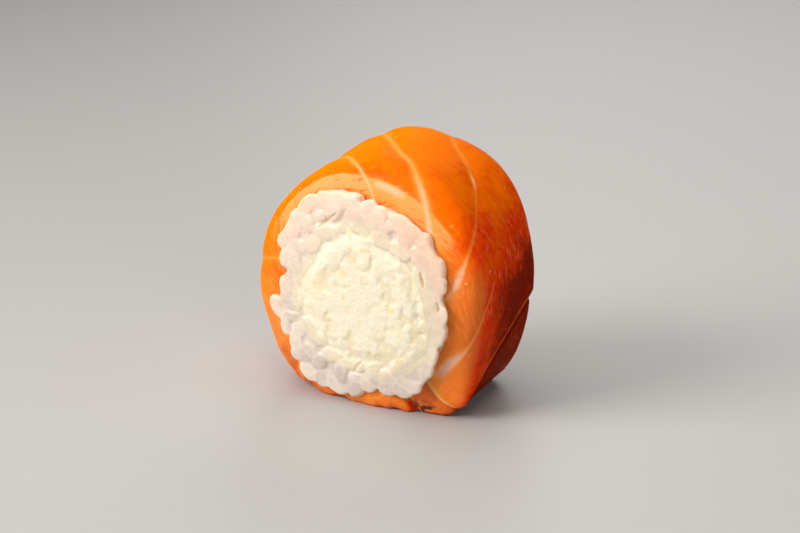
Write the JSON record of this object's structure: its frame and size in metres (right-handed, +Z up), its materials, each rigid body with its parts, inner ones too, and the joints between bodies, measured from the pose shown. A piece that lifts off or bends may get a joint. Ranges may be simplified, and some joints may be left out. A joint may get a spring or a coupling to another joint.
{
  "type": "salmon and cream cheese sushi roll piece",
  "caption": "Round cut piece of a salmon roll: a soft salmon slice wrapped round a ring of rice with a cream cheese core showing at both cut faces. It stands on a pressed flat foot.",
  "frame": {"origin": "on the ground under the middle of the piece's bounding box", "axes": "+Z up; the roll's axis runs along Y with the shown cut face looking towards -Y; +X to the right of someone who looks at that face"},
  "size_m": [0.0471, 0.0298, 0.0429],
  "materials": {
    "salmon": "wet, translucent raw salmon with white fat lines",
    "salmon_dark": "wet, darker raw salmon",
    "rice": "moist, translucent cooked rice",
    "cream_cheese": "soft, crumbly cream cheese"
  },
  "bodies": {
    "root": {"salmon_slice": "salmon", "salmon_short_slice": "salmon_dark", "rice": "rice", "cream_cheese": "cream_cheese"}
  },
  "joints": []
}
